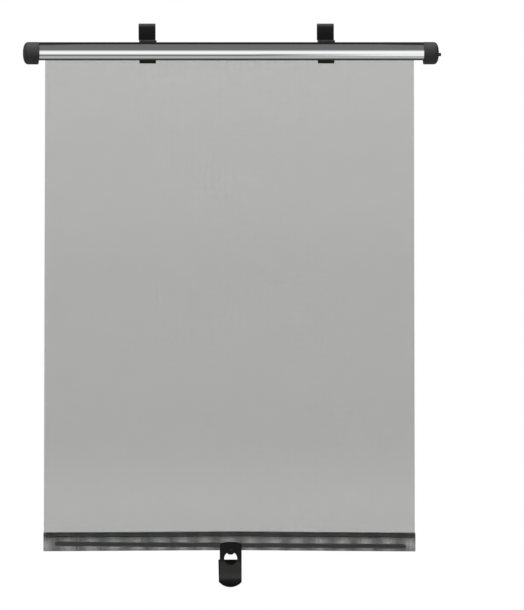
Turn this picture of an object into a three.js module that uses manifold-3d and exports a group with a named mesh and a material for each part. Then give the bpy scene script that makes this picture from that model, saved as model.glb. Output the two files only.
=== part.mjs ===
// Car side window sunshade: a chromed channel with a spring roller in it, hung on the top edge
// of a door glass by two sliding hooks. A mesh cloth pulls down out of the channel's open foot,
// with a hem bar and a pull tab at its lower end. It is drawn pulled out.
//
// Millimetres. +X runs along the channel, +Z is up, and the front faces -Y. The origin is level
// with the glass edge under the hooks, in the middle of the channel's length, on its axis in Y.

import * as THREE from 'three';
import { mergeVertices } from 'three/addons/utils/BufferGeometryUtils.js';
import Module from 'manifold-3d';

const wasm = await Module();
wasm.setup();

// Clearances
const fit = 0.3;          // between a piece and the neighbour that it seats on or runs in
const loose = 0.5;        // round the rivet where it passes the hem

// Channel
const channelDiameter = 24;
const channelWall = 0.8;
const channelEdge = 40;   // degrees below level at which its front and back walls end
const channelDrop = 18.5; // from the glass edge down to the channel's top

// End caps
const capDiameter = 24.4;
const capLength = 17;
const capRoundLength = 6; // how much of the length the rounded outer end takes
const capRoundPower = 2.4;
const capEndWall = 4;
const capSpigotLength = 5;
const capSpigotWall = 1.6;
const capBossDiameter = 8.4;
const capBossLength = 9;
const capBossRoot = 1;    // how deep the boss is rooted in the end wall

// Roller, its bearings and its spring
const rollerDrop = 1.5;   // the roller's axis lies this far below the channel's
const rollerDiameter = 9;
const rollerWall = 0.5;
const rollerEndGap = 4.5; // from each end of the channel to the roller tube
const plugLength = 12;
const plugFlange = 1.4;
const idlerPinDiameter = 4;
const idlerPinGrip = 2;   // how deep the pin goes into the cap's end wall
const arborDiameter = 3.6;
const arborNub = 2.5;     // what shows of the arbor outside the right cap
const arborReach = 100;   // how far the arbor runs into the roller tube
const hubLength = 5;
const hubDiameter = 6.8;
const anchorLength = 8;
const springWire = 0.8;
const springDiameter = 6.8;
const springTurns = 26;

// Cloth, its roll and its hem
const clothWidth = 402;
const clothMargin = 8.3;  // from each side of the cloth to the channel's end, were it in the middle
const clothShift = -2.1;  // the cloth's middle from the channel's middle
const clothThickness = 0.3;
const clothDrop = 511.2;  // from the channel's lower edge to the hem's top
const rollDiameter = 11.6;
const hemHeight = 20;
const hemDepth = 3.4;
const hemTopDepth = 1.2;
const hemSeam = 5.2;      // height that is sewn flat above the pocket
const hemFlare = 2.6;     // further height over which the pocket opens to its full depth
const hemWall = 0.45;
const barInset = 10;      // from each side of the hem to the bar's end
const barHeight = 5;
const barDepth = 1.6;
const barRise = 5.5;      // from the hem's foot up to the bar's middle
const barSlant = 0.55;    // degrees, right end lower

// Pull tab
const tabWidth = 23.7;
const tabThickness = 2;
const tabRise = 9.1;      // how far the tab's top reaches above the hem's foot
const tabTopWidth = 10.8;
const tabShoulder = 2.4;
const tabBelow = 40.2;    // how far it hangs below the hem's foot
const tabBendRadius = 7.3;
const tabFootRadius = 15;
const tabLeafHeight = 29.4;
const tabLeafLean = 14;   // degrees by which the rear leaf leans away from the front plate
const tabHoleDiameter = 14.3;
const tabHoleDrop = 8.9;  // from the hem's foot down to the hole's middle
const bossDiameter = 9.6;
const bossHeight = 1;
const clampWidth = 18;
const clampThickness = 1.5;
const clampRise = 7.8;
const rivetDiameter = 3.4;
const rivetHeadDiameter = 5.4;
const rivetHeadHeight = 1.5;
const rivetTailDiameter = 6.4;
const rivetTailHeight = 0.8;

// Window hooks
const hookWidth = 17.8;
const hookThickness = 1.8;
const hookTop = 2;        // thickness over the glass edge
const hookSlot = 6;       // room for the glass and its edge
const hookLeg = 16;       // how far the outer leg reaches down the glass
const hookBend = 2.6;
const hookInnerBend = 0.8;
const hookFront = 100;    // degrees above the back level at which the collar ends over the top
const hookFoot = 52;      // degrees below the back level at which the collar's lip ends
const hookLip = 4;        // how far the lip reaches in under the channel's back edge
const leftHookX = -90.1;
const rightHookX = 104.2;

// Places that follow from the sizes
const channelLength = clothWidth + 2 * clothMargin;
const channelRadius = channelDiameter / 2;
const channelZ = -channelDrop - channelRadius;
const channelEdgeZ = channelZ - channelRadius * Math.sin(radians(channelEdge));
const channelEnd = channelLength / 2;
const rollerZ = channelZ - rollerDrop;
const rollerEnd = channelEnd - rollerEndGap;
const rollerBore = rollerDiameter / 2 - rollerWall;
const plugRadius = rollerBore - fit;
const arborBore = arborDiameter / 2 + fit;
const capInnerEnd = capLength - capEndWall;
const arborEndX = channelEnd + capLength + arborNub;
const arborStartX = rollerEnd - arborReach;
const hubEndX = rollerEnd - plugLength - fit;
const anchorStartX = arborStartX + fit;
const rollRadius = rollDiameter / 2;
const clothY = -(rollRadius + fit + clothThickness / 2);
const hemTopZ = channelEdgeZ - clothDrop;
const hemFootZ = hemTopZ - hemHeight;
const barLength = clothWidth - 2 * barInset;
const tabBackY = clothY - hemDepth / 2 - fit;
const tabFrontY = tabBackY - tabThickness;
const tabFootZ = hemFootZ - tabBelow;
const rivetZ = hemFootZ;
const holeZ = hemFootZ - tabHoleDrop;
const clampFrontY = clothY + hemDepth / 2 + fit;
const clampBackY = clampFrontY + clampThickness;
const collarInner = channelRadius + fit;
const collarOuter = collarInner + hookThickness;
const slotFrontY = collarOuter;
const slotBackY = slotFrontY + hookSlot;

const finishes = {
  chrome: { color: 0xd4d7da, roughness: 0.12, metalness: 1 },
  steel: { color: 0x9a9c9e, roughness: 0.35, metalness: 1 },
  aluminium: { color: 0xb4b6b8, roughness: 0.4, metalness: 1 },
  blackPlastic: { color: 0x26282a, roughness: 0.55, metalness: 0 },
  greyPlastic: { color: 0x75797c, roughness: 0.6, metalness: 0 },
  mesh: { color: 0x9b9d9b, roughness: 0.9, metalness: 0 },
  hem: { color: 0x595c5d, roughness: 0.9, metalness: 0 },
};

function radians(degrees) {
  return degrees * Math.PI / 180;
}

// A closed mesh with shared corners and no empty triangles.
function closed(geometry) {
  const bare = geometry.clone();
  bare.deleteAttribute('normal');
  bare.deleteAttribute('uv');
  const merged = mergeVertices(bare);
  const index = merged.getIndex().array;
  const kept = [];
  for (let i = 0; i < index.length; i += 3) {
    const [a, b, c] = index.slice(i, i + 3);
    if (a !== b && b !== c && c !== a) kept.push(a, b, c);
  }
  merged.setIndex(kept);
  return merged;
}

function toSolid(geometry) {
  const mesh = closed(geometry);
  return new wasm.Manifold(new wasm.Mesh({
    numProp: 3,
    vertProperties: new Float32Array(mesh.getAttribute('position').array),
    triVerts: new Uint32Array(mesh.getIndex().array),
  }));
}

function toGeometry(solid) {
  const mesh = solid.getMesh();
  const geometry = new THREE.BufferGeometry();
  geometry.setAttribute('position', new THREE.BufferAttribute(mesh.vertProperties, 3));
  geometry.setIndex(new THREE.BufferAttribute(mesh.triVerts, 1));
  geometry.computeVertexNormals();
  return geometry;
}

// A section drawn as (y, z) and carried along X.
function alongX(shape, startX, length, curveSegments = 12) {
  const geometry = new THREE.ExtrudeGeometry(shape, { depth: length, bevelEnabled: false, curveSegments });
  const axes = new THREE.Matrix4().makeBasis(
    new THREE.Vector3(0, 1, 0),
    new THREE.Vector3(0, 0, 1),
    new THREE.Vector3(1, 0, 0),
  );
  return geometry.applyMatrix4(axes).translate(startX, 0, 0);
}

// An outline drawn as (x, z) and carried back along Y.
function alongY(shape, startY, depth, curveSegments = 12) {
  const geometry = new THREE.ExtrudeGeometry(shape, { depth, bevelEnabled: false, curveSegments });
  return geometry.rotateX(Math.PI / 2).translate(0, startY + depth, 0);
}

// A profile of [radius, distance] pairs turned about a line along X. Distance grows towards
// +X, or towards -X where side is -1.
function turnedX(profile, z, side = 1, segments = 32) {
  const points = profile.map(([radius, distance]) => new THREE.Vector2(radius, distance));
  const turn = side > 0 ? -Math.PI / 2 : Math.PI / 2;
  return new THREE.LatheGeometry(points, segments).rotateZ(turn).translate(0, 0, z);
}

// A plain rod along X.
function rodX(radius, startX, endX, z, segments = 24) {
  const length = endX - startX;
  const rod = new THREE.CylinderGeometry(radius, radius, length, segments).rotateZ(Math.PI / 2);
  return rod.translate(startX + length / 2, 0, z);
}

// A plain rod along Y, at the middle of the pull tab.
function rodY(radius, startY, endY, z, segments = 32) {
  const length = endY - startY;
  const rod = new THREE.CylinderGeometry(radius, radius, length, segments);
  return rod.translate(clothShift, startY + length / 2, z);
}

// A band between two radii about (0, z), from one angle to another, in degrees from the back.
function band(inner, outer, fromDegrees, toDegrees, z) {
  const shape = new THREE.Shape();
  shape.absarc(0, z, outer, radians(fromDegrees), radians(toDegrees), false);
  shape.absarc(0, z, inner, radians(toDegrees), radians(fromDegrees), true);
  shape.closePath();
  return shape;
}

// A round hole for an outline, with no doubled point where it closes.
function roundHole(x, y, radius, steps) {
  const points = [];
  for (let i = 0; i < steps; i += 1) {
    const angle = -2 * Math.PI * (i + 0.5) / steps;
    points.push(new THREE.Vector2(x + radius * Math.cos(angle), y + radius * Math.sin(angle)));
  }
  return new THREE.Path(points);
}

const sunshade = new THREE.Group();

function place(name, geometry, finish) {
  const mesh = new THREE.Mesh(geometry, new THREE.MeshStandardMaterial(finishes[finish]));
  mesh.name = name;
  sunshade.add(mesh);
  return mesh;
}

function channel() {
  const section = band(channelRadius - channelWall, channelRadius, -channelEdge, 180 + channelEdge, channelZ);
  return alongX(section, -channelEnd, channelLength, 40);
}

// The room at one end of the channel that lies lower than its edges, where the spigot would show.
function belowChannel(side) {
  const depth = 2 * channelRadius;
  const length = 2 * capSpigotLength;
  const room = new THREE.BoxGeometry(length, depth, depth);
  return toSolid(room.translate(side * (channelEnd + fit - length / 2), 0, channelEdgeZ - depth / 2));
}

// A cup with a rounded closed end, a spigot that plugs into the channel, and a boss for the shaft.
function cap(side, shaftRadius, shaftFrom, shaftTo) {
  const spigotRadius = channelRadius - channelWall - fit;
  const cupRadius = spigotRadius - capSpigotWall;
  const radius = capDiameter / 2;
  const roundStart = capLength - capRoundLength;
  const profile = [
    [0, capInnerEnd],
    [cupRadius, capInnerEnd],
    [cupRadius, -capSpigotLength],
    [spigotRadius, -capSpigotLength],
    [spigotRadius, fit],
    [radius, fit],
  ];
  const steps = 10;
  for (let i = 0; i <= steps; i += 1) {
    const turn = (i / steps) * Math.PI / 2;
    const reach = Math.pow(Math.cos(turn), 2 / capRoundPower);
    const rise = Math.pow(Math.sin(turn), 2 / capRoundPower);
    profile.push([i === steps ? 0 : radius * reach, roundStart + capRoundLength * rise]);
  }
  const cup = toSolid(turnedX(profile, channelZ, side, 40).translate(side * channelEnd, 0, 0));
  const shell = cup.subtract(belowChannel(side));
  const bossEnd = channelEnd + capInnerEnd + capBossRoot;
  const bossStart = channelEnd + capInnerEnd - capBossLength;
  const boss = toSolid(rodX(capBossDiameter / 2, ...span(side, bossStart, bossEnd), rollerZ));
  const bore = toSolid(rodX(shaftRadius + fit, ...span(side, shaftFrom, shaftTo), rollerZ));
  return toGeometry(shell.add(boss).subtract(bore));
}

// The lower and the higher of two distances from the middle, on one side of it.
function span(side, near, far) {
  return side > 0 ? [near, far] : [-far, -near];
}

function rollerTube() {
  const profile = [
    [rollerBore, -rollerEnd],
    [rollerDiameter / 2, -rollerEnd],
    [rollerDiameter / 2, rollerEnd],
    [rollerBore, rollerEnd],
    [rollerBore, -rollerEnd],
  ];
  return turnedX(profile, rollerZ);
}

// A flanged plug in the end of the roller tube, bored for the shaft that it runs on.
function plug(side, bore) {
  const flangeStart = rollerEnd + fit;
  const profile = [
    [bore, rollerEnd - plugLength],
    [plugRadius, rollerEnd - plugLength],
    [plugRadius, flangeStart],
    [rollerDiameter / 2, flangeStart],
    [rollerDiameter / 2, flangeStart + plugFlange],
    [bore, flangeStart + plugFlange],
    [bore, rollerEnd - plugLength],
  ];
  return turnedX(profile, rollerZ, side);
}

function collar(inner, outer, startX, length) {
  const profile = [
    [inner, startX],
    [outer, startX],
    [outer, startX + length],
    [inner, startX + length],
    [inner, startX],
  ];
  return turnedX(profile, rollerZ);
}

class SpringCoil extends THREE.Curve {
  constructor(radius, turns, startX, endX, z) {
    super();
    Object.assign(this, { radius, turns, startX, endX, z });
  }

  getPoint(t, target = new THREE.Vector3()) {
    const angle = t * this.turns * 2 * Math.PI;
    return target.set(
      this.startX + t * (this.endX - this.startX),
      this.radius * Math.cos(angle),
      this.z + this.radius * Math.sin(angle),
    );
  }
}

function spring() {
  const room = fit + springWire / 2;
  const startX = anchorStartX + anchorLength + room;
  const endX = hubEndX - hubLength - room;
  const radius = (springDiameter - springWire) / 2;
  const coil = new SpringCoil(radius, springTurns, startX, endX, rollerZ);
  const wire = new THREE.Shape();
  wire.absarc(0, 0, springWire / 2, 0, 2 * Math.PI, false);
  const stepsPerTurn = 10;
  const steps = springTurns * stepsPerTurn;
  return new THREE.ExtrudeGeometry(wire, { extrudePath: coil, steps, curveSegments: 3 });
}

// The turns that stay on the roller when the cloth is out.
function clothRoll() {
  return collar(rollerDiameter / 2 + fit, rollRadius, clothShift - clothWidth / 2, clothWidth);
}

function shadeCloth() {
  const height = rollerZ - hemTopZ - fit;
  const sheet = new THREE.BoxGeometry(clothWidth, clothThickness, height);
  return sheet.translate(clothShift, clothY, rollerZ - height / 2);
}

// The cloth folded back on itself: sewn flat at the top, a pocket for the bar below.
function hemSleeve() {
  const half = hemDepth / 2;
  const topHalf = hemTopDepth / 2;
  const pocketHalf = half - hemWall;
  const flareZ = hemTopZ - hemSeam - hemFlare;
  const roundZ = hemFootZ + half;
  const section = new THREE.Shape();
  section.moveTo(clothY - topHalf, hemTopZ);
  section.quadraticCurveTo(clothY - topHalf, hemTopZ - hemSeam, clothY - half, flareZ);
  section.lineTo(clothY - half, roundZ);
  section.absarc(clothY, roundZ, half, Math.PI, 2 * Math.PI, false);
  section.lineTo(clothY + half, flareZ);
  section.quadraticCurveTo(clothY + topHalf, hemTopZ - hemSeam, clothY + topHalf, hemTopZ);
  section.closePath();
  const pocket = new THREE.Path();
  pocket.moveTo(clothY, hemTopZ - hemSeam);
  pocket.lineTo(clothY - pocketHalf, flareZ - hemWall);
  pocket.lineTo(clothY - pocketHalf, roundZ);
  pocket.absarc(clothY, roundZ, pocketHalf, Math.PI, 2 * Math.PI, false);
  pocket.lineTo(clothY + pocketHalf, flareZ - hemWall);
  pocket.closePath();
  section.holes.push(pocket);
  const sleeve = toSolid(alongX(section, clothShift - clothWidth / 2, clothWidth, 8));
  const notch = toSolid(rodY(rivetDiameter / 2 + loose, clothY - hemDepth, clothY + hemDepth, rivetZ));
  return toGeometry(sleeve.subtract(notch));
}

function hemBar() {
  const half = barLength / 2;
  const end = barHeight / 2;
  const outline = new THREE.Shape();
  outline.absarc(half - end, 0, end, -Math.PI / 2, Math.PI / 2, false);
  outline.absarc(-half + end, 0, end, Math.PI / 2, 1.5 * Math.PI, false);
  outline.closePath();
  return alongY(outline, -barDepth / 2, barDepth, 6);
}

// The tab seen from the front: a cropped top, straight sides and a rounded foot.
function tabOutline() {
  const half = tabWidth / 2;
  const topZ = hemFootZ + tabRise;
  const spread = Math.asin(half / tabFootRadius);
  const outline = new THREE.Shape();
  outline.moveTo(clothShift - tabTopWidth / 2, topZ);
  outline.lineTo(clothShift - half, topZ - tabShoulder);
  outline.absarc(
    clothShift,
    tabFootZ + tabFootRadius,
    tabFootRadius,
    -Math.PI / 2 - spread,
    -Math.PI / 2 + spread,
    false,
  );
  outline.lineTo(clothShift + half, topZ - tabShoulder);
  outline.lineTo(clothShift + tabTopWidth / 2, topZ);
  outline.closePath();
  return outline;
}

// The tab seen from its side: a front plate bent round at the foot into a short rear leaf, which
// leans back a little. At the end of the bend, (lean, rise) points along the leaf.
function tabSection() {
  const topZ = hemFootZ + tabRise;
  const bendZ = tabFootZ + tabBendRadius;
  const bendY = tabFrontY + tabBendRadius;
  const inner = tabBendRadius - tabThickness;
  const lean = Math.sin(radians(tabLeafLean));
  const rise = Math.cos(radians(tabLeafLean));
  const leafLength = (tabLeafHeight - tabBendRadius * (1 - lean)) / rise;
  const bendEnd = 2 * Math.PI - radians(tabLeafLean);
  const leafEnd = (radius) => [
    bendY + radius * rise + leafLength * lean,
    bendZ - radius * lean + leafLength * rise,
  ];
  const section = new THREE.Shape();
  section.moveTo(tabFrontY, topZ);
  section.lineTo(tabFrontY, bendZ);
  section.absarc(bendY, bendZ, tabBendRadius, Math.PI, bendEnd, false);
  section.lineTo(...leafEnd(tabBendRadius));
  section.lineTo(...leafEnd(inner));
  section.absarc(bendY, bendZ, inner, bendEnd, Math.PI, true);
  section.lineTo(tabBackY, topZ);
  section.closePath();
  return section;
}

function pullTab() {
  const margin = 5;
  const bent = toSolid(alongX(tabSection(), clothShift - tabWidth, 2 * tabWidth, 16));
  const leafReach = tabLeafHeight * Math.tan(radians(tabLeafLean));
  const depth = 2 * tabBendRadius + leafReach + 2 * margin;
  const front = toSolid(alongY(tabOutline(), tabFrontY - margin, depth, 20));
  const hole = toSolid(rodY(tabHoleDiameter / 2, tabFrontY - margin, tabBackY + margin, holeZ, 40));
  const boss = toSolid(rodY(bossDiameter / 2, tabFrontY - bossHeight, tabBackY, rivetZ));
  const rivetHole = toSolid(rodY(rivetDiameter / 2 + fit, tabFrontY - margin, tabBackY + margin, rivetZ));
  return toGeometry(bent.intersect(front).subtract(hole).add(boss).subtract(rivetHole));
}

// The plate behind the hem that the rivet draws against the tab.
function tabClamp() {
  const half = clampWidth / 2;
  const radius = bossDiameter / 2;
  const outline = new THREE.Shape();
  outline.moveTo(clothShift - half, rivetZ + clampRise);
  outline.lineTo(clothShift - half, rivetZ);
  outline.lineTo(clothShift - radius, rivetZ);
  outline.absarc(clothShift, rivetZ, radius, Math.PI, 2 * Math.PI, false);
  outline.lineTo(clothShift + half, rivetZ);
  outline.lineTo(clothShift + half, rivetZ + clampRise);
  outline.closePath();
  outline.holes.push(roundHole(clothShift, rivetZ, rivetDiameter / 2 + fit, 32));
  return alongY(outline, clampFrontY, clampThickness, 16);
}

// A snap rivet: a domed head in front of the boss and a flat tail behind the clamp.
function tabRivet() {
  const shank = rivetDiameter / 2;
  const head = rivetHeadDiameter / 2;
  const tail = rivetTailDiameter / 2;
  const headY = tabFrontY - bossHeight - fit;
  const tailY = clampBackY + fit;
  const profile = [[0, headY - rivetHeadHeight]];
  const steps = 6;
  for (let i = 1; i <= steps; i += 1) {
    const turn = (i / steps) * Math.PI / 2;
    profile.push([head * Math.sin(turn), headY - rivetHeadHeight * Math.cos(turn)]);
  }
  profile.push(
    [shank, headY],
    [shank, tailY],
    [tail, tailY],
    [tail, tailY + rivetTailHeight],
    [0, tailY + rivetTailHeight],
  );
  const points = profile.map(([radius, y]) => new THREE.Vector2(radius, y));
  return new THREE.LatheGeometry(points, 24).translate(clothShift, 0, rivetZ);
}

// A flat strip bent over the glass, with a collar that hugs the back of the channel.
function windowHook(middleX) {
  const startX = middleX - hookWidth / 2;
  const stemY = slotFrontY - hookThickness;
  const legY = slotBackY + hookThickness;
  const strip = new THREE.Shape();
  strip.moveTo(stemY, channelZ);
  strip.lineTo(slotFrontY, channelZ);
  strip.lineTo(slotFrontY, -hookInnerBend);
  strip.absarc(slotFrontY + hookInnerBend, -hookInnerBend, hookInnerBend, Math.PI, Math.PI / 2, true);
  strip.absarc(slotBackY - hookInnerBend, -hookInnerBend, hookInnerBend, Math.PI / 2, 0, true);
  strip.lineTo(slotBackY, -hookLeg);
  strip.lineTo(legY, -hookLeg);
  strip.absarc(legY - hookBend, hookTop - hookBend, hookBend, 0, Math.PI / 2, false);
  strip.absarc(stemY + hookBend, hookTop - hookBend, hookBend, Math.PI / 2, Math.PI, false);
  strip.closePath();
  const grip = band(collarInner, collarOuter, -hookFoot, hookFront, channelZ);
  const lipGap = THREE.MathUtils.radToDeg(fit / channelRadius);
  const lip = band(collarOuter - hookLip, collarOuter, -hookFoot, -channelEdge - lipGap, channelZ);
  const solid = toSolid(alongX(grip, startX, hookWidth, 24))
    .add(toSolid(alongX(strip, startX, hookWidth, 6)))
    .add(toSolid(alongX(lip, startX, hookWidth, 4)));
  return toGeometry(solid);
}

const pinEndX = channelEnd + capInnerEnd + idlerPinGrip;
const pinStartX = rollerEnd - plugLength / 2;

place('cassette_channel', channel(), 'chrome');
place('left_end_cap', cap(-1, idlerPinDiameter / 2, pinStartX, pinEndX + fit), 'blackPlastic');
place('right_end_cap', cap(1, arborDiameter / 2, arborStartX, arborEndX), 'blackPlastic');
place('window_hook_left', windowHook(leftHookX), 'blackPlastic');
place('window_hook_right', windowHook(rightHookX), 'blackPlastic');

place('roller_tube', rollerTube(), 'aluminium');
place('idler_plug', plug(-1, idlerPinDiameter / 2 + fit), 'greyPlastic');
place('idler_pin', rodX(idlerPinDiameter / 2, -pinEndX, -pinStartX, rollerZ), 'steel');
place('arbor_bush', plug(1, arborBore), 'greyPlastic');
place('spring_arbor', rodX(arborDiameter / 2, arborStartX, arborEndX, rollerZ), 'steel');
place('spring_hub', collar(arborBore, hubDiameter / 2, hubEndX - hubLength, hubLength), 'greyPlastic');
place('spring_anchor', collar(arborBore, plugRadius, anchorStartX, anchorLength), 'greyPlastic');
place('torsion_spring', spring(), 'steel');

place('cloth_roll', clothRoll(), 'mesh');
place('shade_cloth', shadeCloth(), 'mesh');
place('hem_sleeve', hemSleeve(), 'hem');
const bar = place('hem_bar', hemBar(), 'blackPlastic');
bar.position.set(clothShift, clothY, hemFootZ + barRise);
bar.rotation.y = radians(barSlant);

place('pull_tab', pullTab(), 'blackPlastic');
place('tab_clamp', tabClamp(), 'blackPlastic');
place('tab_rivet', tabRivet(), 'blackPlastic');

export default sunshade;
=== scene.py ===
# A roller sunshade for a car's side window: a chromed channel with black end caps and two sliding
# glass hooks, an open black mesh cloth, its sewn hem and a bent pull tab.
import math

import bmesh
import bpy
import numpy as np
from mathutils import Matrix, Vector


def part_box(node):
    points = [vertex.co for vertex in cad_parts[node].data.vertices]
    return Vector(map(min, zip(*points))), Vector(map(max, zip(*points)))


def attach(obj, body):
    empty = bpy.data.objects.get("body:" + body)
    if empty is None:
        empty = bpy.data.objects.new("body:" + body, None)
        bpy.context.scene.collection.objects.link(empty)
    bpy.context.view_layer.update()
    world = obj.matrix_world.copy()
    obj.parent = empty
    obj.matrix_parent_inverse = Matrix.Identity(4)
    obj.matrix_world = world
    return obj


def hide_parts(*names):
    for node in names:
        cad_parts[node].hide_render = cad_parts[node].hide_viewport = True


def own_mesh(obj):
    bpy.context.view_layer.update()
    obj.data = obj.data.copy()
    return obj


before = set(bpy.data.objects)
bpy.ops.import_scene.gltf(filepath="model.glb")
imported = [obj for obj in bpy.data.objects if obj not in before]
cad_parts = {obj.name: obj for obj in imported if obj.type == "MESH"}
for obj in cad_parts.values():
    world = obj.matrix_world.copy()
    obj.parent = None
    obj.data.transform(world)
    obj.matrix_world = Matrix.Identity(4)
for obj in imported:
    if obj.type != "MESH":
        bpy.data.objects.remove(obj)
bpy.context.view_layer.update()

MM = 0.001

# The solids' own sizes and angles, for the pieces that this script draws again, and the hem's
# travel: lengths are in metres
channel_wall = 0.8 * MM
channel_edge = math.radians(40)
cap_round_length = 6 * MM
cap_round_power = 2.4
cap_spigot_length = 5 * MM
cap_spigot_wall = 1.6 * MM
cap_end_wall = 4 * MM
fit = 0.3 * MM
hook_thickness = 1.8 * MM
hook_top = 2 * MM
hook_slot = 6 * MM
hook_leg = 16 * MM
hook_bend = 2.6 * MM
hook_inner_bend = 0.8 * MM
hook_front = math.radians(100)
hook_foot = math.radians(52)
hook_lip = 4 * MM
rivet_head = 2.7 * MM
rivet_head_height = 1.5 * MM
rivet_shank = 1.7 * MM
rivet_tail = 3.2 * MM
rivet_tail_height = 0.8 * MM

# Edges: how far each is rounded, and how steep one is that gets rounded or stays sharp
channel_edge_round = 0.25 * MM
hook_edge_round = 0.75 * MM
tab_edge_round = 0.25 * MM
inner_edge_round = 0.3 * MM
rounded_from = math.radians(32)
sharp_from = math.radians(40)

# Relief of the surfaces
grain_depth = 0.02 * MM
wave_depth = 0.004 * MM
thread_relief = 0.1 * MM

# Mesh, thread and seam: the shares are the thread's part of the pitch, and the covers are how
# much of the light a thread, or the loose fibres in a gap, keep out
mesh_pitch = 0.95 * MM
mesh_share = 0.32
hem_share = 0.42
roll_share = 0.4
thread_cover = 0.94
fibre_cover = 0.1
thread_dark = (0.032, 0.034, 0.02)
thread_light = (0.064, 0.067, 0.044)
hem_dark = (0.036, 0.04, 0.036)
hem_light = (0.068, 0.074, 0.068)
hem_skew = 1.1
sewn_half_depth = 0.35 * MM
stitch_pitch = 3.1 * MM
stitch_gap = 0.8 * MM
thread_radius = 0.6 * MM
seam_rows = (1.3 * MM, 4.8 * MM)
seam_turn = 5.4 * MM
seam_start = 0.2 * MM
seam_lean = 0.1 * MM

# How far the cloth leaves the flat and straight: its waves, its left and right edges at the roller
# and at the hem, the hem's own two ends, how far those hang below the hem's middle, how far the
# hem's top stands above the solid's, and the hem's puckers with their number
cloth_wave = 0.5 * MM
cloth_lean_top = (0.45 * MM, -0.4 * MM)
cloth_lean_foot = (-1.85 * MM, -0.25 * MM)
hem_spread = (-2.25 * MM, 0.5 * MM)
hem_sag = (0.6 * MM, 2.0 * MM)
hem_rise = 0.4 * MM
hem_pucker = 0.12 * MM
hem_puckers = 37

# Places read from the frame
channel_low, channel_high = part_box("cassette_channel")
channel_radius = (channel_high[1] - channel_low[1]) / 2
channel_z = channel_high[2] - channel_radius
channel_end = channel_high[0]
cap_low, cap_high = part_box("left_end_cap")
cap_radius = (cap_high[2] - cap_low[2]) / 2
cap_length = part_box("right_end_cap")[1][0] - channel_end
cloth_low, cloth_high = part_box("shade_cloth")
cloth_y = (cloth_low[1] + cloth_high[1]) / 2
cloth_x = (cloth_low[0] + cloth_high[0]) / 2
cloth_width = cloth_high[0] - cloth_low[0]
hem_low, hem_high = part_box("hem_sleeve")
hem_top = hem_high[2] + hem_rise
rivet_low, rivet_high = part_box("tab_rivet")


# Meshes

def build(name, points, faces, closed=True, smooth=True):
    """Makes a mesh object from an array of points and an array or list of faces. Points that fall
    together are merged, and a closed shape gets its faces turned outwards."""
    mesh = bpy.data.meshes.new(name)
    mesh.from_pydata(np.asarray(points, float).reshape(-1, 3).tolist(), [], [list(f) for f in faces])
    work = bmesh.new()
    work.from_mesh(mesh)
    bmesh.ops.remove_doubles(work, verts=work.verts, dist=1e-7)
    if closed:
        bmesh.ops.recalc_face_normals(work, faces=work.faces)
    work.to_mesh(mesh)
    work.free()
    mesh.polygons.foreach_set("use_smooth", [smooth] * len(mesh.polygons))
    piece = bpy.data.objects.new(name, mesh)
    bpy.context.scene.collection.objects.link(piece)
    return piece


def quads(rows, columns, wrap_rows=False, wrap_columns=False):
    """Faces of a grid with that many rows and columns of points, closed round where asked: each
    face joins a point to its neighbour along the row, across to the next row and back."""
    row = np.arange(rows if wrap_rows else rows - 1)
    column = np.arange(columns if wrap_columns else columns - 1)
    r, c = np.meshgrid(row, column, indexing="ij")
    r1 = (r + 1) % rows
    c1 = (c + 1) % columns
    corners = [r * columns + c, r * columns + c1, r1 * columns + c1, r1 * columns + c]
    return np.stack(corners, axis=-1).reshape(-1, 4)


def turned(name, profile, axis_z, side, steps=96):
    """A profile of (radius, x) pairs turned about a line along X at height axis_z: a point is
    (side * x, radius * cos a, axis_z + radius * sin a), for a going once round."""
    profile = np.asarray(profile, float)
    angle = np.linspace(0, 2 * np.pi, steps, endpoint=False)
    radius = profile[:, 0][:, None]
    x = np.broadcast_to(side * profile[:, 1][:, None], (len(profile), steps))
    points = np.stack([x, radius * np.cos(angle), axis_z + radius * np.sin(angle)], axis=-1)
    return build(name, points, quads(len(profile), steps, wrap_columns=True))


def carried(name, outline, start_x, end_x, steps=1):
    """A closed outline of (y, z) pairs carried straight along X, with a flat face at each end."""
    outline = np.asarray(outline, float)
    x = np.linspace(start_x, end_x, steps + 1)
    count = len(outline)
    points = np.empty((steps + 1, count, 3))
    points[..., 0] = x[:, None]
    points[..., 1:] = outline[None]
    faces = quads(steps + 1, count, wrap_columns=True).tolist()
    faces.append(list(range(count)))
    faces.append(list(range(steps * count, (steps + 1) * count)))
    return build(name, points, faces)


def arc(radius, start, end, count, y=0.0, z=0.0):
    """Points (y + radius cos a, z + radius sin a) for a from start to end."""
    a = np.linspace(start, end, count)
    return np.stack([y + radius * np.cos(a), z + radius * np.sin(a)], axis=-1)


def soft_edges(piece, width, segments=3):
    """Rounds the sharp edges of a piece or a CAD node and shades it smooth between them. A flat
    shaded one, as a CAD node is, has its loose triangles welded first."""
    if piece.data.polygons and not piece.data.polygons[0].use_smooth:
        weld = piece.modifiers.new("weld", "WELD")
        weld.merge_threshold = 1e-6
    bevel = piece.modifiers.new("edge", "BEVEL")
    bevel.width = width
    bevel.segments = segments
    bevel.limit_method = "ANGLE"
    bevel.angle_limit = rounded_from
    add_shading(piece)
    normals = piece.modifiers.new("normals", "WEIGHTED_NORMAL")
    normals.keep_sharp = True
    return piece


def add_shading(piece):
    """Shades a piece smooth between its steeper edges."""
    shade = piece.modifiers.new("shade", "NODES")
    shade.node_group = smooth_shading()


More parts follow.
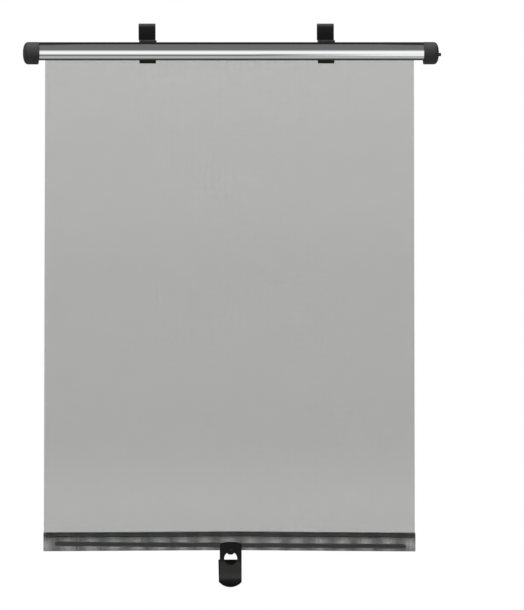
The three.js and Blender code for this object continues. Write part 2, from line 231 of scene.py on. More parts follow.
def smooth_shading():
    """Geometry nodes that shade every face smooth, and keep the steeper edges sharp."""
    tree = bpy.data.node_groups.get("shade smooth between edges")
    if tree:
        return tree
    tree = bpy.data.node_groups.new("shade smooth between edges", "GeometryNodeTree")
    tree.interface.new_socket("Geometry", in_out="INPUT", socket_type="NodeSocketGeometry")
    tree.interface.new_socket("Geometry", in_out="OUTPUT", socket_type="NodeSocketGeometry")
    start = tree.nodes.new("NodeGroupInput")
    end = tree.nodes.new("NodeGroupOutput")
    faces = tree.nodes.new("GeometryNodeSetShadeSmooth")
    edges = tree.nodes.new("GeometryNodeSetShadeSmooth")
    edges.domain = "EDGE"
    edges.inputs["Shade Smooth"].default_value = False
    angle = tree.nodes.new("GeometryNodeInputMeshEdgeAngle")
    steep = tree.nodes.new("ShaderNodeMath")
    steep.operation = "GREATER_THAN"
    steep.inputs[1].default_value = sharp_from
    tree.links.new(start.outputs[0], faces.inputs["Geometry"])
    tree.links.new(faces.outputs[0], edges.inputs["Geometry"])
    tree.links.new(angle.outputs["Unsigned Angle"], steep.inputs[0])
    tree.links.new(steep.outputs[0], edges.inputs["Selection"])
    tree.links.new(edges.outputs[0], end.inputs[0])
    return tree


# Shader node groups

FLOAT = "NodeSocketFloat"


def new_group(name, inputs, outputs):
    """An empty shader group with named inputs, each with its starting value, and named outputs."""
    group = bpy.data.node_groups.new(name, "ShaderNodeTree")
    for label, value in inputs:
        kind = "NodeSocketVector" if value is None else FLOAT
        socket = group.interface.new_socket(label, in_out="INPUT", socket_type=kind)
        if value is not None:
            socket.default_value = value
    for label in outputs:
        group.interface.new_socket(label, in_out="OUTPUT", socket_type=FLOAT)
    return group, group.nodes.new("NodeGroupInput"), group.nodes.new("NodeGroupOutput")


def math_node(tree, operation, a, b=None, c=None):
    """A Math node on sockets or plain numbers, and its output."""
    node = tree.nodes.new("ShaderNodeMath")
    node.operation = operation
    for socket, value in zip(node.inputs, (a, b, c)):
        if value is None:
            continue
        if isinstance(value, (int, float)):
            socket.default_value = value
        else:
            tree.links.new(value, socket)
    return node.outputs[0]


def noise_node(tree, vector, scale, detail=2.0, stretch=None):
    """A Noise texture on a vector, stretched by three factors where asked, and its value."""
    if stretch:
        mapping = tree.nodes.new("ShaderNodeMapping")
        mapping.inputs["Scale"].default_value = stretch
        tree.links.new(vector, mapping.inputs["Vector"])
        vector = mapping.outputs[0]
    noise = tree.nodes.new("ShaderNodeTexNoise")
    noise.inputs["Detail"].default_value = detail
    if isinstance(scale, (int, float)):
        noise.inputs["Scale"].default_value = scale
    else:
        tree.links.new(scale, noise.inputs["Scale"])
    tree.links.new(vector, noise.inputs["Vector"])
    return noise.outputs["Fac"]


def fill_ramp(ramp, stops):
    """Gives a new colour ramp its stops and gives back its output. The stops are (place, value)
    pairs in rising order, and a value is a grey or a colour."""
    elements = ramp.color_ramp.elements
    first, *between, last = stops
    for element, (place, value) in zip(elements, (first, last)):
        element.position = place
        element.color = ramp_colour(value)
    for place, value in between:
        element = elements.new(place)
        element.color = ramp_colour(value)
    return ramp.outputs["Color"]


def ramp_colour(value):
    """A grey or a colour as a ramp's four numbers."""
    if isinstance(value, tuple):
        return (*value, 1)
    return (value, value, value, 1)


def moulded_grain():
    """Satin plastic: a fine grain, a broad unevenness and faint rubbed patches."""
    group, start, end = new_group(
        "moulded grain",
        [("Vector", None), ("Grain Scale", 2600.0), ("Patch Scale", 90.0)],
        ["Height", "Patches"],
    )
    detail = 3.0
    broad_part = 0.5
    fine = noise_node(group, start.outputs["Vector"], start.outputs["Grain Scale"], detail)
    broad = noise_node(group, start.outputs["Vector"], start.outputs["Patch Scale"], detail)
    height = math_node(group, "MULTIPLY_ADD", broad, broad_part, fine)
    group.links.new(height, end.inputs["Height"])
    group.links.new(broad, end.inputs["Patches"])
    return group


def drawn_streaks():
    """Metal drawn along X: long thin streaks and a slow waviness."""
    group, start, end = new_group(
        "drawn streaks",
        [("Vector", None), ("Streak Scale", 900.0), ("Wave Scale", 60.0)],
        ["Streaks", "Waves"],
    )
    vector = start.outputs["Vector"]
    long_streaks, short_waves = (0.012, 1, 1), (0.35, 1, 1)
    streaks = noise_node(group, vector, start.outputs["Streak Scale"], 3.0, long_streaks)
    waves = noise_node(group, vector, start.outputs["Wave Scale"], 1.0, short_waves)
    group.links.new(streaks, end.inputs["Streaks"])
    group.links.new(waves, end.inputs["Waves"])
    return group


def open_weave():
    """A square mesh on coordinates counted in threads: the thread's share of the pitch decides how
    open it is. Puts out how much the threads and their loose fibres cover, the threads' height and
    their unevenness."""
    group, start, end = new_group(
        "open weave",
        [("Threads", None), ("Share", 0.34), ("Unevenness", 0.03)],
        ["Thread", "Height", "Tone"],
    )
    split = group.nodes.new("ShaderNodeSeparateXYZ")
    group.links.new(start.outputs["Threads"], split.inputs[0])
    along_warp = (0.55, 0.045, 1)
    drift = noise_node(group, start.outputs["Threads"], 1.0, 2.0, along_warp)
    centred = math_node(group, "SUBTRACT", drift, 0.5)
    uneven = math_node(group, "MULTIPLY", centred, start.outputs["Unevenness"])
    share = math_node(group, "ADD", start.outputs["Share"], uneven)
    covers = []
    for axis in (0, 1):
        place = math_node(group, "PINGPONG", split.outputs[axis], 0.5)
        half = math_node(group, "MULTIPLY", share, 0.5)
        covers.append(math_node(group, "LESS_THAN", place, half))
    thread = math_node(group, "MAXIMUM", covers[0], covers[1])
    cover = math_node(group, "MULTIPLY_ADD", thread, thread_cover - fibre_cover, fibre_cover)
    crossing = math_node(group, "ADD", covers[0], covers[1])
    group.links.new(cover, end.inputs["Thread"])
    group.links.new(math_node(group, "MULTIPLY", crossing, 0.5), end.inputs["Height"])
    group.links.new(drift, end.inputs["Tone"])
    return group


groups = {
    "grain": moulded_grain(),
    "streaks": drawn_streaks(),
    "weave": open_weave(),
}


def new_material(name):
    """An empty node material with a Principled shader, and its parts."""
    material = bpy.data.materials.new(name)
    material.use_nodes = True
    tree = material.node_tree
    return material, tree, tree.nodes["Principled BSDF"]


def put_group(tree, kind, vector, **values):
    """Places a shared group, fed with a vector and its own values."""
    node = tree.nodes.new("ShaderNodeGroup")
    node.node_tree = groups[kind]
    tree.links.new(vector, node.inputs[0])
    for label, value in values.items():
        node.inputs[label.replace("_", " ")].default_value = value
    return node


def object_place(tree):
    """The place on the piece, in its own coordinates."""
    return tree.nodes.new("ShaderNodeTexCoord").outputs["Object"]


def mixed_colour(tree, factor, low, high):
    """A colour between two, by a factor."""
    mix = tree.nodes.new("ShaderNodeMix")
    mix.data_type = "RGBA"
    share, first, second = mix.inputs[0], mix.inputs[6], mix.inputs[7]
    first.default_value = (*low, 1)
    second.default_value = (*high, 1)
    tree.links.new(factor, share)
    return mix.outputs[2]


def ranged(tree, value, low, high):
    """A value from 0 to 1 spread between two numbers."""
    return math_node(tree, "MULTIPLY_ADD", value, high - low, low)


def bumped(tree, shader, height, distance, strength=1.0):
    """Gives a shader a relief from a height of 0 to 1 over a distance."""
    bump = tree.nodes.new("ShaderNodeBump")
    bump.inputs["Distance"].default_value = distance
    bump.inputs["Strength"].default_value = strength
    tree.links.new(height, bump.inputs["Height"])
    tree.links.new(bump.outputs[0], shader.inputs["Normal"])


def satin_plastic(name, dark, light, rough=(0.38, 0.52), grain=2600.0, shine=0.2):
    """Moulded black plastic with a fine satin grain and slightly rubbed patches."""
    material, tree, shader = new_material(name)
    shader.inputs["Specular IOR Level"].default_value = shine
    grains = put_group(tree, "grain", object_place(tree), Grain_Scale=grain)
    colour = mixed_colour(tree, grains.outputs["Patches"], dark, light)
    tree.links.new(colour, shader.inputs["Base Color"])
    tree.links.new(ranged(tree, grains.outputs["Patches"], *rough), shader.inputs["Roughness"])
    bumped(tree, shader, grains.outputs["Height"], grain_depth)
    return material


def plastic_with_painted_light(name, zones, behind=None, rough=(0.32, 0.45), shine=0.12):
    """Black plastic with painted highlights and painted shade in zones down its height: zones are
    (z, tone) pairs from the top down. What lies behind the y given takes the last zone's tone."""
    material, tree, shader = new_material(name)
    shader.inputs["Specular IOR Level"].default_value = shine
    place = object_place(tree)
    grains = put_group(tree, "grain", place)
    split = tree.nodes.new("ShaderNodeSeparateXYZ")
    tree.links.new(place, split.inputs[0])
    top, foot = zones[0][0], zones[-1][0]
    height = top - foot
    down = math_node(tree, "MULTIPLY_ADD", split.outputs["Z"], -1 / height, top / height)
    if behind is not None:
        back = math_node(tree, "GREATER_THAN", split.outputs["Y"], behind)
        down = math_node(tree, "MAXIMUM", down, back)
    warmth = 0.96
    # Painted highlights and painted shade: the ramp lightens and darkens the plastic by height
    ramp = tree.nodes.new("ShaderNodeValToRGB")
    fill_ramp(ramp, [((top - z) / height, (tone, tone, warmth * tone)) for z, tone in zones])
    tree.links.new(down, ramp.inputs["Fac"])
    less, more = (0.75, 0.75, 0.75), (1.25, 1.25, 1.25)
    speck = mixed_colour(tree, grains.outputs["Patches"], less, more)
    blend = tree.nodes.new("ShaderNodeMix")
    blend.data_type = "RGBA"
    blend.blend_type = "MULTIPLY"
    blend.inputs[0].default_value = 1.0
    tree.links.new(ramp.outputs["Color"], blend.inputs[6])
    tree.links.new(speck, blend.inputs[7])
    tree.links.new(blend.outputs[2], shader.inputs["Base Color"])
    tree.links.new(ranged(tree, grains.outputs["Patches"], *rough), shader.inputs["Roughness"])
    bumped(tree, shader, grains.outputs["Height"], grain_depth)
    return material


def drawn_metal(name, dark, light, rough):
    """Drawn or plated metal with lengthwise streaks in its shine."""
    material, tree, shader = new_material(name)
    shader.inputs["Metallic"].default_value = 1.0
    streaks = put_group(tree, "streaks", object_place(tree))
    colour = mixed_colour(tree, streaks.outputs["Streaks"], dark, light)
    tree.links.new(colour, shader.inputs["Base Color"])
    tree.links.new(ranged(tree, streaks.outputs["Streaks"], *rough), shader.inputs["Roughness"])
    bumped(tree, shader, streaks.outputs["Waves"], wave_depth)
    return material


def mesh_cloth(name, counts, share, unevenness, dark, light, shaded_shares=None, skew=0.0):
    """Open black mesh. The threads are counted over the piece's own UV map, which runs from 0 to 1
    across and down the cloth, and the gaps between them are clear. Where (place down, share) pairs
    are given, they take the share's place and paint shade down the cloth. A skew, in degrees, turns
    the threads, so that two faces of a fold cross and show bands where they cover each other."""
    material, tree, shader = new_material(name)
    uv = tree.nodes.new("ShaderNodeTexCoord").outputs["UV"]
    count = tree.nodes.new("ShaderNodeMapping")
    count.inputs["Scale"].default_value = (counts[0], counts[1], 1)
    count.inputs["Rotation"].default_value = (0, 0, math.radians(skew))
    tree.links.new(uv, count.inputs["Vector"])
    weave = put_group(tree, "weave", count.outputs[0], Share=share, Unevenness=unevenness)
    if shaded_shares:
        split = tree.nodes.new("ShaderNodeSeparateXYZ")
        tree.links.new(uv, split.inputs[0])
        ramp = tree.nodes.new("ShaderNodeValToRGB")
        ramp.color_ramp.interpolation = "EASE"
        tree.links.new(split.outputs["Y"], ramp.inputs["Fac"])
        tree.links.new(fill_ramp(ramp, shaded_shares), weave.inputs["Share"])
    colour = mixed_colour(tree, weave.outputs["Tone"], dark, light)
    tree.links.new(colour, shader.inputs["Base Color"])
    tree.links.new(weave.outputs["Thread"], shader.inputs["Alpha"])
    tree.links.new(ranged(tree, weave.outputs["Tone"], 0.7, 0.9), shader.inputs["Roughness"])
    bumped(tree, shader, weave.outputs["Height"], thread_relief, 0.6)
    return material


def wound_cloth(name):
    """The rolled mesh: many layers, so it is closed, with the weave as its relief."""
    material, tree, shader = new_material(name)
    count = tree.nodes.new("ShaderNodeMapping")
    count.inputs["Scale"].default_value = (1 / mesh_pitch, 0, 1 / mesh_pitch)
    count.inputs["Rotation"].default_value = (math.radians(-90), 0, 0)
    tree.links.new(object_place(tree), count.inputs["Vector"])
    weave = put_group(tree, "weave", count.outputs[0], Share=roll_share, Unevenness=0.05)
    # Painted shade: the gaps between the threads are darkest and the crossings lightest, as the layers
    # beneath lie in shade
    between, thread = (0.012, 0.012, 0.012), (0.06, 0.062, 0.06)
    colour = mixed_colour(tree, weave.outputs["Height"], between, thread)
    tree.links.new(colour, shader.inputs["Base Color"])
    tree.links.new(ranged(tree, weave.outputs["Tone"], 0.7, 0.95), shader.inputs["Roughness"])
    bumped(tree, shader, weave.outputs["Height"], thread_relief, 0.8)
    return material


def dress(piece, material):
    """Gives a piece or a CAD node one material."""
    if piece.material_slots:
        for place in piece.material_slots:
            place.material = material
    else:
        piece.data.materials.append(material)
    return piece


# Channel

def channel_outline():
    """The channel's section: an outer arc from the front edge over the top to the back edge, and
    an inner arc back, a wall's thickness inside it."""
    front, back = math.pi + channel_edge, -channel_edge
    outer = arc(channel_radius, front, back, 150, 0, channel_z)
    inner = arc(channel_radius - channel_wall, back, front, 150, 0, channel_z)
    return np.concatenate([outer, inner])


def make_channel():
    """The channel's section carried along its length, in bright drawn chrome."""
    piece = carried("chrome_channel", channel_outline(), -channel_end, channel_end, 4)
    soft_edges(piece, channel_edge_round, 2)
    dress(piece, drawn_metal("bright chrome", (0.82, 0.83, 0.84), (0.9, 0.9, 0.9), (0.05, 0.1)))
    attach(piece, "cassette")
    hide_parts("cassette_channel")
    return piece


# End caps

def cap_profile():
    """From the inner end wall out along the cup to the shoulder, then along the cap to its rounded
    end, whose outline is a superellipse: (r / R)^p + (x / L)^p = 1."""
    cup = channel_radius - channel_wall - fit - cap_spigot_wall
    inner_end = channel_end + cap_length - cap_end_wall
    shoulder = channel_end + fit
    chamfer = 0.3 * MM
    start = [
        (0, inner_end),
        (cup - chamfer, inner_end),
        (cup, inner_end - chamfer),
        (cup, shoulder),
        (cap_radius - 2 * chamfer, shoulder),
    ]
    corner = arc(chamfer, -math.pi / 2, 0, 5, cap_radius - chamfer, shoulder + chamfer)
    turn = np.linspace(0, math.pi / 2, 40)
    reach = np.clip(np.cos(turn), 0, 1) ** (2 / cap_round_power) * cap_radius
    rise = np.sin(turn) ** (2 / cap_round_power) * cap_round_length
    reach[-1] = 0
    dome = np.stack([reach, channel_end + cap_length - cap_round_length + rise], axis=-1)
    return np.concatenate([np.array(start), corner, dome])


def spigot_outline():
    """The spigot's section, an arc like the channel's and a fit's width inside it."""
    outer = channel_radius - channel_wall - fit
    inner = outer - cap_spigot_wall
    front, back = math.pi + channel_edge, -channel_edge
    over = arc(outer, front, back, 80, 0, channel_z)
    under = arc(inner, back, front, 80, 0, channel_z)
    return np.concatenate([over, under])


def joined(name, pieces):
    """One object out of several, which it uses up."""
    work = bmesh.new()
    for piece in pieces:
        work.from_mesh(piece.data)
        bpy.data.meshes.remove(piece.data)
    mesh = bpy.data.meshes.new(name)
    work.to_mesh(mesh)
    work.free()
    whole = bpy.data.objects.new(name, mesh)
    bpy.context.scene.collection.objects.link(whole)
    return whole


def make_caps():
    """Each cap is a turned shell with the spigot that roots in its shoulder."""
    plastic = satin_plastic("cap plastic", (0.042, 0.043, 0.042), (0.062, 0.063, 0.062), shine=0.12)
    root = 0.6 * MM
    for side, name in ((-1, "left"), (1, "right")):
        ends = sorted((side * (channel_end - cap_spigot_length), side * (channel_end + fit + root)))
        spigot = carried("spigot", spigot_outline(), *ends)
        shell = turned("shell", cap_profile(), channel_z, side)
        piece = joined(f"{name}_cap_moulding", (shell, spigot))
        add_shading(piece)
        dress(piece, plastic)
        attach(piece, "cassette")
        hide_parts(f"{name}_end_cap")


# Window hooks

def hook_outline():
    """The hook's section, round once: over the collar's outer face to the stem, up and over the
    glass, down the outer leg and back, then round the channel's back to the lip and up inside."""
    inner = channel_radius + fit
    outer = inner + hook_thickness
    stem = outer - hook_thickness
    back = outer + hook_slot
    leg = back + hook_thickness
    meet = math.acos(stem / outer)
    lip_start = -channel_edge - fit / channel_radius
    lip = outer - hook_lip
    quarter = math.pi / 2
    pieces = [
        arc(outer, hook_front, meet, 40, 0, channel_z),
        arc(hook_bend, math.pi, quarter, 9, stem + hook_bend, hook_top - hook_bend),
        arc(hook_bend, quarter, 0, 9, leg - hook_bend, hook_top - hook_bend),
        np.array([(leg, -hook_leg), (back, -hook_leg)]),
        arc(hook_inner_bend, 0, quarter, 6, back - hook_inner_bend, -hook_inner_bend),
        arc(hook_inner_bend, quarter, math.pi, 6, outer + hook_inner_bend, -hook_inner_bend),
        arc(outer, 0, -hook_foot, 24, 0, channel_z),
        arc(lip, -hook_foot, lip_start, 6, 0, channel_z),
        arc(inner, lip_start, hook_front, 60, 0, channel_z),
    ]
    return np.concatenate(pieces)


def make_hooks():
    """The zones are (height in mm, tone): the crest and the ledge over the channel carry painted
    highlights, and the stem between them and the lip below keep the plastic's own near-black."""
    # Painted highlights: the lighter tones at the crest and at the ledge stand in for the lamps' shine
    zones = (
        (2.0, 0.05), (-0.4, 0.06), (-2.2, 0.013), (-6.0, 0.009), (-10.0, 0.004), (-15.4, 0.004),
        (-16.2, 0.06), (-17.8, 0.085), (-19.0, 0.03), (-36.0, 0.005),
    )
    plastic = plastic_with_painted_light("hook plastic", [(z * MM, tone) for z, tone in zones])
    for side in ("left", "right"):
        low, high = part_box(f"window_hook_{side}")
        piece = carried(f"{side}_glass_hook", hook_outline(), low[0], high[0])
        soft_edges(piece, hook_edge_round, 4)
        dress(piece, plastic)
        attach(piece, f"{side}_hook")
        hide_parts(f"window_hook_{side}")


# Cloth

def sheet_grid(name, across, down, columns, rows):
    """A cloth surface over u across and v down, both from 0 to 1: the two functions give its
    points, and u and v become its UV map."""
    u, v = np.meshgrid(np.linspace(0, 1, columns), np.linspace(0, 1, rows))
    points = np.stack([across(u, v), *down(u, v)], axis=-1)
    piece = build(name, points, quads(rows, columns), closed=False)
    mesh = piece.data
    layer = mesh.uv_layers.new(name="threads")
    corner = np.empty(len(mesh.loops), int)
    mesh.loops.foreach_get("vertex_index", corner)
    flat = np.stack([u.ravel(), v.ravel()], axis=-1)[corner]
    layer.data.foreach_set("uv", flat.ravel())
    return piece


def sag(u):
    """How far the hem hangs below its middle at a place u across, from 0 to 1: quickly beside the
    tab that holds it, then slowly out to its ends, as a rounded power of the way out."""
    out = 2 * np.asarray(u, float) - 1
    rounding, power = 0.01, 0.375
    near = rounding ** power
    share = ((out * out + rounding) ** power - near) / ((1 + rounding) ** power - near)
    return np.where(out < 0, hem_sag[0], hem_sag[1]) * share


def hem_across(u, v):
    """Places along the hem, whose ends stand a little outside the cloth's."""
    left = hem_low[0] + hem_spread[0]
    right = hem_high[0] + hem_spread[1]
    return left + u * (right - left) + 0 * v


def make_cloth():
    """The hanging mesh, whose foot follows the hem. Its waves are sin(pi v) times a sum of two sines
    of u: one and a half slow waves and four quick ones, which fade at the roller and at the hem."""
    top = cloth_high[2]
    drop = cloth_high[2] - hem_high[2]

    def across(u, v):
        left, right = [
            edge + start + v * (end - start)
            for edge, start, end in zip((cloth_low[0], cloth_high[0]), cloth_lean_top, cloth_lean_foot)
        ]
        return left + u * (right - left)

    def down(u, v):
        free = np.sin(np.pi * v)
        slow = 0.6 * np.sin(2 * np.pi * 1.5 * u + 0.6)
        quick = 0.4 * np.sin(2 * np.pi * 4.2 * u + 1.3)
        return cloth_y + cloth_wave * free * (slow + quick), top - v * (drop + sag(u))

    piece = sheet_grid("shade_mesh", across, down, 81, 105)
    counts = (cloth_width / mesh_pitch, drop / mesh_pitch)
    # Painted shade: the threads widen down the cloth, darkest four fifths of the way down, in place of
    # the light's fall-off
    painted_fall_off = ((0.0, 0.99), (0.25, 1.075), (0.5, 1.17), (0.8, 1.21), (0.94, 1.115), (1.0, 1.14))
    shares = [(place, mesh_share * factor) for place, factor in painted_fall_off]
    cloth = mesh_cloth("shade mesh", counts, mesh_share, 0.06, thread_dark, thread_light, shares)
    dress(piece, cloth)
    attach(piece, "cassette")
    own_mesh(piece)
    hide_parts("shade_cloth")
    return piece, drop


# Hem

def hem_side(v):
    """The folded hem's section for v from 0 at the front's top, round the foot, to 1 at the back's
    top: half the depth grows from the sewn seam to the bar's pocket, and the foot is a half circle.
    Also gives the section's length."""
    full = (hem_high[1] - hem_low[1]) / 2
    swell_start, swell_length = 4.5 * MM, 5 * MM
    height = hem_top - hem_low[2]
    flat = height - full
    length = 2 * flat + math.pi * full
    s = v * length
    turn = np.clip((s - flat) / full, 0, math.pi)
    below = np.where(s < flat, s, np.where(s > flat + math.pi * full, length - s, flat))
    swell = np.clip((below - swell_start) / swell_length, 0, 1)
    half = sewn_half_depth + (full - sewn_half_depth) * swell * swell * (3 - 2 * swell)
    y = cloth_y - half * np.cos(turn)
    z = hem_top - below - full * np.sin(turn)
    return y, z, length


def make_hem():
    """The folded foot of the cloth. Its faces stand off by small even puckers, a sine along the
    hem, which are deepest just above the fold and fade at its top."""
    def down(u, v):
        y, z, _ = hem_side(v)
        pucker = hem_pucker * np.sin(2 * np.pi * u * hem_puckers) * np.sin(np.pi * v) ** 2
        return y + pucker * np.sign(y - cloth_y), z - sag(u)

    piece = sheet_grid("hem_fold", hem_across, down, 241, 61)
    length = hem_side(0.0)[2]
    counts = ((hem_high[0] - hem_low[0]) / mesh_pitch, length / mesh_pitch)
    unevenness = 0.45
    mesh = mesh_cloth("hem mesh", counts, hem_share, unevenness, hem_dark, hem_light, skew=hem_skew)
    dress(piece, mesh)
    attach(piece, "hem")
    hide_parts("hem_sleeve")
    return piece, mesh


def make_seam(mesh):
    """The cloth's cut edge, turned in between the hem's two faces and caught by both rows of
    stitches: a flat strip that leans a little."""
    def down(u, v):
        return cloth_y + seam_lean * (2 * v - 1), hem_top - seam_start - v * seam_turn - sag(u)

    piece = sheet_grid("seam_turn", hem_across, down, 81, 5)
    dress(piece, mesh)
    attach(piece, "hem")
    return piece


def capsule(radius, length, sides=6, rings=3):
    """One stitch along X: a tube with half-round ends, as points and faces."""
    turn = np.linspace(0, math.pi / 2, rings)
    rise = radius * np.sin(turn)
    reach = length / 2 - radius + radius * np.cos(turn)
    start = np.stack([-reach, rise], axis=-1)
    end = np.stack([reach[::-1], rise[::-1]], axis=-1)
    profile = np.concatenate([start, end])
    a = np.linspace(0, 2 * math.pi, sides, endpoint=False)
    x = np.broadcast_to(profile[:, 0][:, None], (len(profile), sides))
    r = profile[:, 1][:, None]
    points = np.stack([x, r * np.cos(a), r * np.sin(a)], axis=-1).reshape(-1, 3)
    return points, quads(len(profile), sides, wrap_columns=True)


def make_stitches():
    """Two rows of lockstitch along the hem's top, seen on both faces."""
    points, faces = capsule(thread_radius, stitch_pitch - stitch_gap)
    left, right = hem_across(0, 0), hem_across(1, 0)
    plain_ends = 2 * MM
    count = int((right - left - plain_ends) / stitch_pitch)
    x = (left + right) / 2 + (np.arange(count) - (count - 1) / 2) * stitch_pitch
    offsets = []
    for below in seam_rows:
        for face in (-1, 1):
            y = np.full(count, cloth_y + face * (sewn_half_depth + 0.5 * thread_radius))
            z = hem_top - below - sag((x - left) / (right - left))
            offsets.append(np.stack([x, y, z], axis=-1))
    offsets = np.concatenate(offsets)
    all_points = (offsets[:, None, :] + points[None]).reshape(-1, 3)
    first_points = (np.arange(len(offsets)) * len(points))[:, None, None]
    all_faces = (faces[None] + first_points).reshape(-1, 4)
    piece = build("hem_stitches", all_points, all_faces)
    dark, light = (0.006, 0.006, 0.006), (0.014, 0.014, 0.014)
    thread = satin_plastic("sewing thread", dark, light, (0.5, 0.7), 4000.0)
    dress(piece, thread)
    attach(piece, "hem")
    return piece


# Pull tab

def make_rivet():
    """The snap rivet's head, shank and tail, turned about Y: the head is a quarter of an ellipse."""
    x = cloth_x
    z = (rivet_low[2] + rivet_high[2]) / 2
    front, tail_face = rivet_low[1], rivet_high[1]
    shank_start, shank_end = front + rivet_head_height, tail_face - rivet_tail_height
    chamfer = 0.2 * MM
    turn = np.linspace(0, math.pi / 2, 14)
    depth = front + rivet_head_height * (1 - np.cos(turn))
    dome = np.stack([rivet_head * np.sin(turn), depth], axis=-1)
    rest = np.array([
        (rivet_shank, shank_start),
        (rivet_shank, shank_end),
        (rivet_tail, shank_end),
        (rivet_tail, tail_face - chamfer),
        (rivet_tail - chamfer, tail_face),
        (0, tail_face),
    ])
    profile = np.concatenate([dome, rest])
    steps = 48
    a = np.linspace(0, 2 * math.pi, steps, endpoint=False)
    r = profile[:, 0][:, None]
    y = np.broadcast_to(profile[:, 1][:, None], (len(profile), steps))
    points = np.stack([x + r * np.cos(a), y, z + r * np.sin(a)], axis=-1)
    piece = build("snap_rivet", points, quads(len(profile), steps, wrap_columns=True))
    add_shading(piece)
    return piece


def make_tab():
    """The zones are (height in mm, tone): the plate is dark at its top and lighter below it, and
    painted shade darkens its bend, which faces down. What stands behind the plate, the leaf and
    the clamp, takes the bend's painted shade."""
    # Painted shade: the dark tones at the bend and behind the plate stand for the shade there
    zones = (
        (-560.0, 0.008), (-578.0, 0.008), (-584.0, 0.034), (-592.0, 0.038), (-599.0, 0.05),
        (-602.0, 0.01), (-610.0, 0.007),
    )
    before_clamp = 4.2 * MM
    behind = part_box("tab_clamp")[0][1] - before_clamp
    plastic = plastic_with_painted_light("tab plastic", [(z * MM, tone) for z, tone in zones], behind)
    for node in ("pull_tab", "tab_clamp"):
        soft_edges(dress(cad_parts[node], plastic), tab_edge_round)
    rivet = make_rivet()
    dark, light = (0.008, 0.008, 0.008), (0.016, 0.016, 0.016)
    dress(rivet, satin_plastic("rivet plastic", dark, light, (0.22, 0.3)))
    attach(rivet, "hem")
    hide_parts("tab_rivet")


# Pieces inside the channel and the hem

def dress_inner_nodes():
    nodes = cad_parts
    steel = drawn_metal("plain steel", (0.34, 0.35, 0.36), (0.5, 0.5, 0.51), (0.3, 0.42))
    dark_steel = drawn_metal("blackened steel", (0.05, 0.05, 0.05), (0.1, 0.1, 0.1), (0.3, 0.45))
    aluminium = drawn_metal("drawn aluminium", (0.55, 0.56, 0.57), (0.68, 0.69, 0.7), (0.3, 0.45))
    grey = satin_plastic("bearing plastic", (0.15, 0.16, 0.17), (0.2, 0.21, 0.22))
    bar = satin_plastic("bar plastic", (0.17, 0.175, 0.175), (0.24, 0.25, 0.25))
    wound = wound_cloth("wound mesh")
    for node, material in (
        ("idler_pin", steel),
        ("spring_arbor", dark_steel),
        ("torsion_spring", steel),
        ("roller_tube", aluminium),
        ("idler_plug", grey),
        ("arbor_bush", grey),
        ("spring_hub", grey),
        ("spring_anchor", grey),
        ("hem_bar", bar),
        ("cloth_roll", wound),
    ):
        dress(nodes[node], material)
    for node in ("spring_arbor", "hem_bar", "idler_pin"):
        soft_edges(nodes[node], inner_edge_round, 2)


# Stage, lights and camera

def make_stage():
    """A pale round floor well below the hanging shade."""
    drop, radius, steps = 0.95, 1.25, 96
    rim = np.full((steps, 3), -drop)
    rim[:, :2] = arc(radius, 0, 2 * math.pi, steps + 1)[:-1]
    floor = build("floor", rim, [list(range(steps))], closed=False, smooth=False)
    material, tree, shader = new_material("pale floor")
    patches = put_group(tree, "grain", object_place(tree), Grain_Scale=400.0, Patch_Scale=6.0)
    dark, light = (0.74, 0.74, 0.74), (0.8, 0.8, 0.8)
    colour = mixed_colour(tree, patches.outputs["Patches"], dark, light)
    tree.links.new(colour, shader.inputs["Base Color"])
    shader.inputs["Roughness"].default_value = 0.8
    dress(floor, material)
    floor.visible_glossy = False


def make_card(name, corners, from_x, to_x, dim, bright):
    """A studio card that only shiny faces mirror: its glow goes from dim to bright along X."""
    card = build(name, corners, [list(range(len(corners)))], closed=False, smooth=False)
    material = bpy.data.materials.new(name)
    material.use_nodes = True
    tree = material.node_tree
    split = tree.nodes.new("ShaderNodeSeparateXYZ")
    tree.links.new(object_place(tree), split.inputs[0])
    spread = tree.nodes.new("ShaderNodeMapRange")
    for label, value in (("From Min", from_x), ("From Max", to_x), ("To Min", dim), ("To Max", bright)):
        spread.inputs[label].default_value = value
    tree.links.new(split.outputs["X"], spread.inputs["Value"])
    glow = tree.nodes.new("ShaderNodeEmission")
    tree.links.new(spread.outputs[0], glow.inputs["Strength"])
    tree.links.new(glow.outputs[0], tree.nodes["Material Output"].inputs["Surface"])
    dress(card, material)
    for kind in ("camera", "diffuse", "transmission", "volume_scatter", "shadow"):
        setattr(card, f"visible_{kind}", False)


def make_cards():
    """Dark cards overhead, whose slanted ends the chrome mirrors near the caps, and a glowing one low
    in front on the right, which fills the dark band there. Places are in metres: the dark cards'
    inner edges stand further right, by as much as the slanting view throws what they mirror."""
    across = 0.087
    overhead, near, start, far = 1.0, 0.03, 0.19, 0.62
    inner, end, outer = 0.182, 0.212, 0.7
    dark = 0.045
    for side, name in ((-1, "left"), (1, "right")):
        corners = [
            (side * inner + across, start, overhead),
            (side * end + across, near, overhead),
            (side * outer, near, overhead),
            (side * outer, far, overhead),
            (side * inner + across, far, overhead),
        ]
        make_card(f"{name}_dark_card", corners, -1, 1, dark, dark)
    front, low, high = -1, -0.61, -0.22
    left, full_glow, right = 0.12, 0.28, 0.6
    corners = [(left, front, low), (right, front, low), (right, front, high), (left, front, high)]
    make_card("glow_card", corners, left, full_glow, 0.2, 1.0)


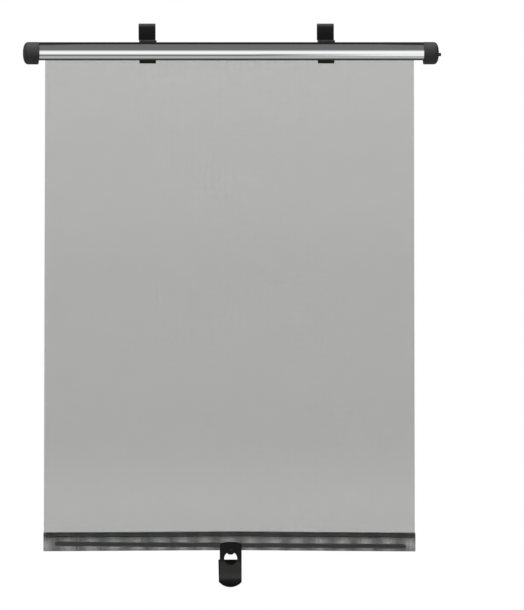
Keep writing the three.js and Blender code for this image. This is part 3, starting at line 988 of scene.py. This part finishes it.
def make_world():
    """White ground behind the object. The chrome mirrors a studio whose brightness follows the
    angle up from straight ahead, given as (degrees, grey) bands, and dull faces are lit by a soft
    dome, brightest from above."""
    world = bpy.data.worlds.new("studio")
    bpy.context.scene.world = world
    world.use_nodes = True
    tree = world.node_tree
    direction = tree.nodes.new("ShaderNodeTexCoord").outputs["Generated"]
    split = tree.nodes.new("ShaderNodeSeparateXYZ")
    tree.links.new(direction, split.inputs[0])
    forward = math_node(tree, "MULTIPLY", split.outputs["Y"], -1.0)
    angle = math_node(tree, "ARCTAN2", split.outputs["Z"], forward)
    share = math_node(tree, "MULTIPLY_ADD", angle, 1 / (2 * math.pi), 0.5)
    ramp = tree.nodes.new("ShaderNodeValToRGB")
    bands = (
        (-180, 0.30), (-110, 0.14), (-84, 0.03), (-69, 0.03), (-60, 0.14), (-50, 0.46), (-38, 0.5),
        (-28, 0.16), (-19, 0.2), (-8, 0.85), (4, 1.0), (15, 0.95), (26, 0.46), (34, 0.155),
        (99, 0.155), (109, 0.055), (118, 0.012), (160, 0.012), (180, 0.30),
    )
    studio = fill_ramp(ramp, [(0.5 + degrees / 360, grey) for degrees, grey in bands])
    tree.links.new(share, ramp.inputs["Fac"])
    height = math_node(tree, "MULTIPLY_ADD", split.outputs["Z"], 0.5, 0.5)
    dome = tree.nodes.new("ShaderNodeValToRGB")
    below, level, above = 0.5, 0.22, 1.0
    soft = fill_ramp(dome, [(0.0, below), (0.5, level), (1.0, above)])
    tree.links.new(height, dome.inputs["Fac"])
    path = tree.nodes.new("ShaderNodeLightPath")
    room = backdrop(tree, soft, 0.5)
    mirrored = backdrop(tree, studio, 1.1)
    ground = backdrop(tree, None, 1.0)
    lit = either(tree, path.outputs["Is Glossy Ray"], room, mirrored)
    seen = either(tree, path.outputs["Is Camera Ray"], lit, ground)
    tree.links.new(seen, tree.nodes["World Output"].inputs["Surface"])


def backdrop(tree, colour, strength):
    """A Background shader, white where it is given no colour."""
    node = tree.nodes.new("ShaderNodeBackground")
    node.inputs["Color"].default_value = (1, 1, 1, 1)
    node.inputs["Strength"].default_value = strength
    if colour:
        tree.links.new(colour, node.inputs["Color"])
    return node.outputs[0]


def either(tree, factor, first, second):
    """The second shader where the factor is 1, and the first elsewhere."""
    mix = tree.nodes.new("ShaderNodeMixShader")
    tree.links.new(factor, mix.inputs["Fac"])
    tree.links.new(first, mix.inputs[1])
    tree.links.new(second, mix.inputs[2])
    return mix.outputs[0]


def soft_light(name, place, target, size, power):
    """A square area light at a place, aimed at a target, that no shiny face mirrors."""
    data = bpy.data.lights.new(name, "AREA")
    data.size = size
    data.energy = power
    light = bpy.data.objects.new(name, data)
    bpy.context.scene.collection.objects.link(light)
    place, target = np.array(place), np.array(target)
    away = place - target
    flat = math.hypot(away[0], away[1])
    light.rotation_euler = (math.atan2(flat, away[2]), 0, math.atan2(away[0], -away[1]))
    light.location = place
    light.visible_glossy = False


def make_lights():
    """Three square lamps of one size, with their powers in watts."""
    middle, size = (0, 0, -0.3), 1.2
    soft_light("overhead", (-0.2, -0.25, 1.5), middle, size, 44)
    soft_light("front fill", (-0.9, -1.6, -0.2), middle, size, 2)
    soft_light("back fill", (0.7, 1.6, 0.5), middle, size, 10)


def make_camera():
    """A long lens a little to the left of straight on, as the photograph shows by the sides of the
    hooks and the tab. A pixel of the photograph's frame is 1.0848 mm at the object. The glass edge
    lies at one pixel row, and the channel's middle at one column."""
    pixel = 1.0848 * MM
    seat_row, middle_column = 25.1, 231.4
    width, height = 524, 610
    distance = 16.0
    azimuth = math.radians(-5)
    roll = math.radians(0.09)
    data = bpy.data.cameras.new("camera")
    data.sensor_width = 36
    data.lens = data.sensor_width * distance / (height * pixel)
    camera = bpy.data.objects.new("camera", data)
    x = (width / 2 - middle_column) * pixel
    z = -(height / 2 - seat_row) * pixel
    camera.location = (x + distance * math.sin(azimuth), -distance * math.cos(azimuth), z)
    camera.rotation_euler = (math.pi / 2, roll, azimuth)
    bpy.context.scene.collection.objects.link(camera)
    bpy.context.scene.camera = camera


bpy.context.scene.view_settings.view_transform = "Standard"
make_camera()
make_channel()
make_caps()
make_hooks()
cloth, cloth_drop = make_cloth()
hem, hem_mesh = make_hem()
seam = make_seam(hem_mesh)
stitches = make_stitches()
make_tab()
dress_inner_nodes()
make_stage()
make_cards()
make_world()
make_lights()
